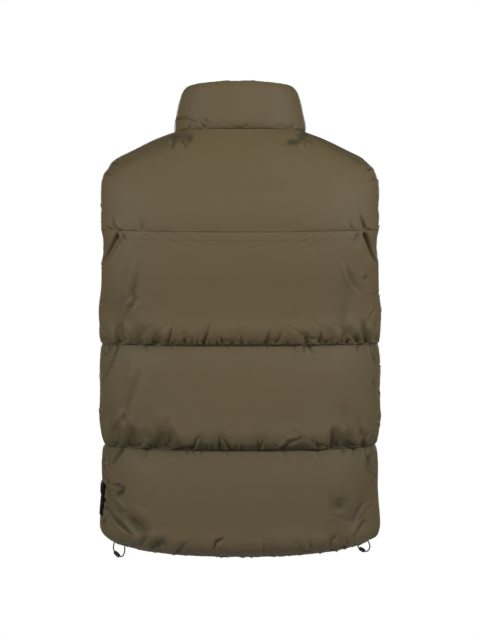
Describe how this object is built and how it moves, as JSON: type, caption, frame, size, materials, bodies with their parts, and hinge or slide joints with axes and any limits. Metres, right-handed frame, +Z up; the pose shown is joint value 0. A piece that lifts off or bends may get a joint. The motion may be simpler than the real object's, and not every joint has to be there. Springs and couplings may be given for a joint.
{
  "type": "puffer vest",
  "caption": "Padded, quilted sleeveless vest with a stand collar, full front zip and hem cord loops, hollow as worn.",
  "frame": {"origin": "middle of the neck opening, level with the neck points of the two shoulders", "axes": "+Z up as worn, -Y out of the front, +X to the wearer's left"},
  "size_m": [0.4804, 0.2861, 0.796],
  "materials": {
    "olive_shell": "fine matt nylon taffeta, olive brown, with a soft sheen",
    "olive_tape": "woven zip tape and moulded teeth, olive brown",
    "dark_metal": "dark lacquered zinc, satin",
    "black_patch": "plain black woven cloth, bare",
    "grey_cord": "braided elastic cord, dark grey",
    "black_plastic": "moulded black plastic, satin"
  },
  "bodies": {
    "vest": {"back_yoke": "olive_shell", "back_upper": "olive_shell", "back_middle": "olive_shell", "back_hem": "olive_shell", "front_left_yoke": "olive_shell", "front_left_upper": "olive_shell", "front_left_middle": "olive_shell", "front_left_hem": "olive_shell", "front_right_yoke": "olive_shell", "front_right_upper": "olive_shell", "front_right_middle": "olive_shell", "front_right_hem": "olive_shell", "collar": "olive_shell", "zip_tape_left": "olive_tape", "zip_tape_right": "olive_tape", "zip_chain": "olive_tape", "zip_box": "dark_metal", "zip_slider": "dark_metal", "side_patch": "black_patch", "hem_cord_left": "grey_cord", "hem_cord_right": "grey_cord", "cord_lock_left": "black_plastic", "cord_lock_right": "black_plastic"},
    "pull": {"zip_pull": "dark_metal"}
  },
  "joints": [
    {"name": "zip_pull_swing", "type": "hinge", "parent": "vest", "child": "pull", "pos_m": [0, -0.08232, 0.01845], "axis": [-1, 0, 0], "range_deg": [0, 160]}
  ]
}
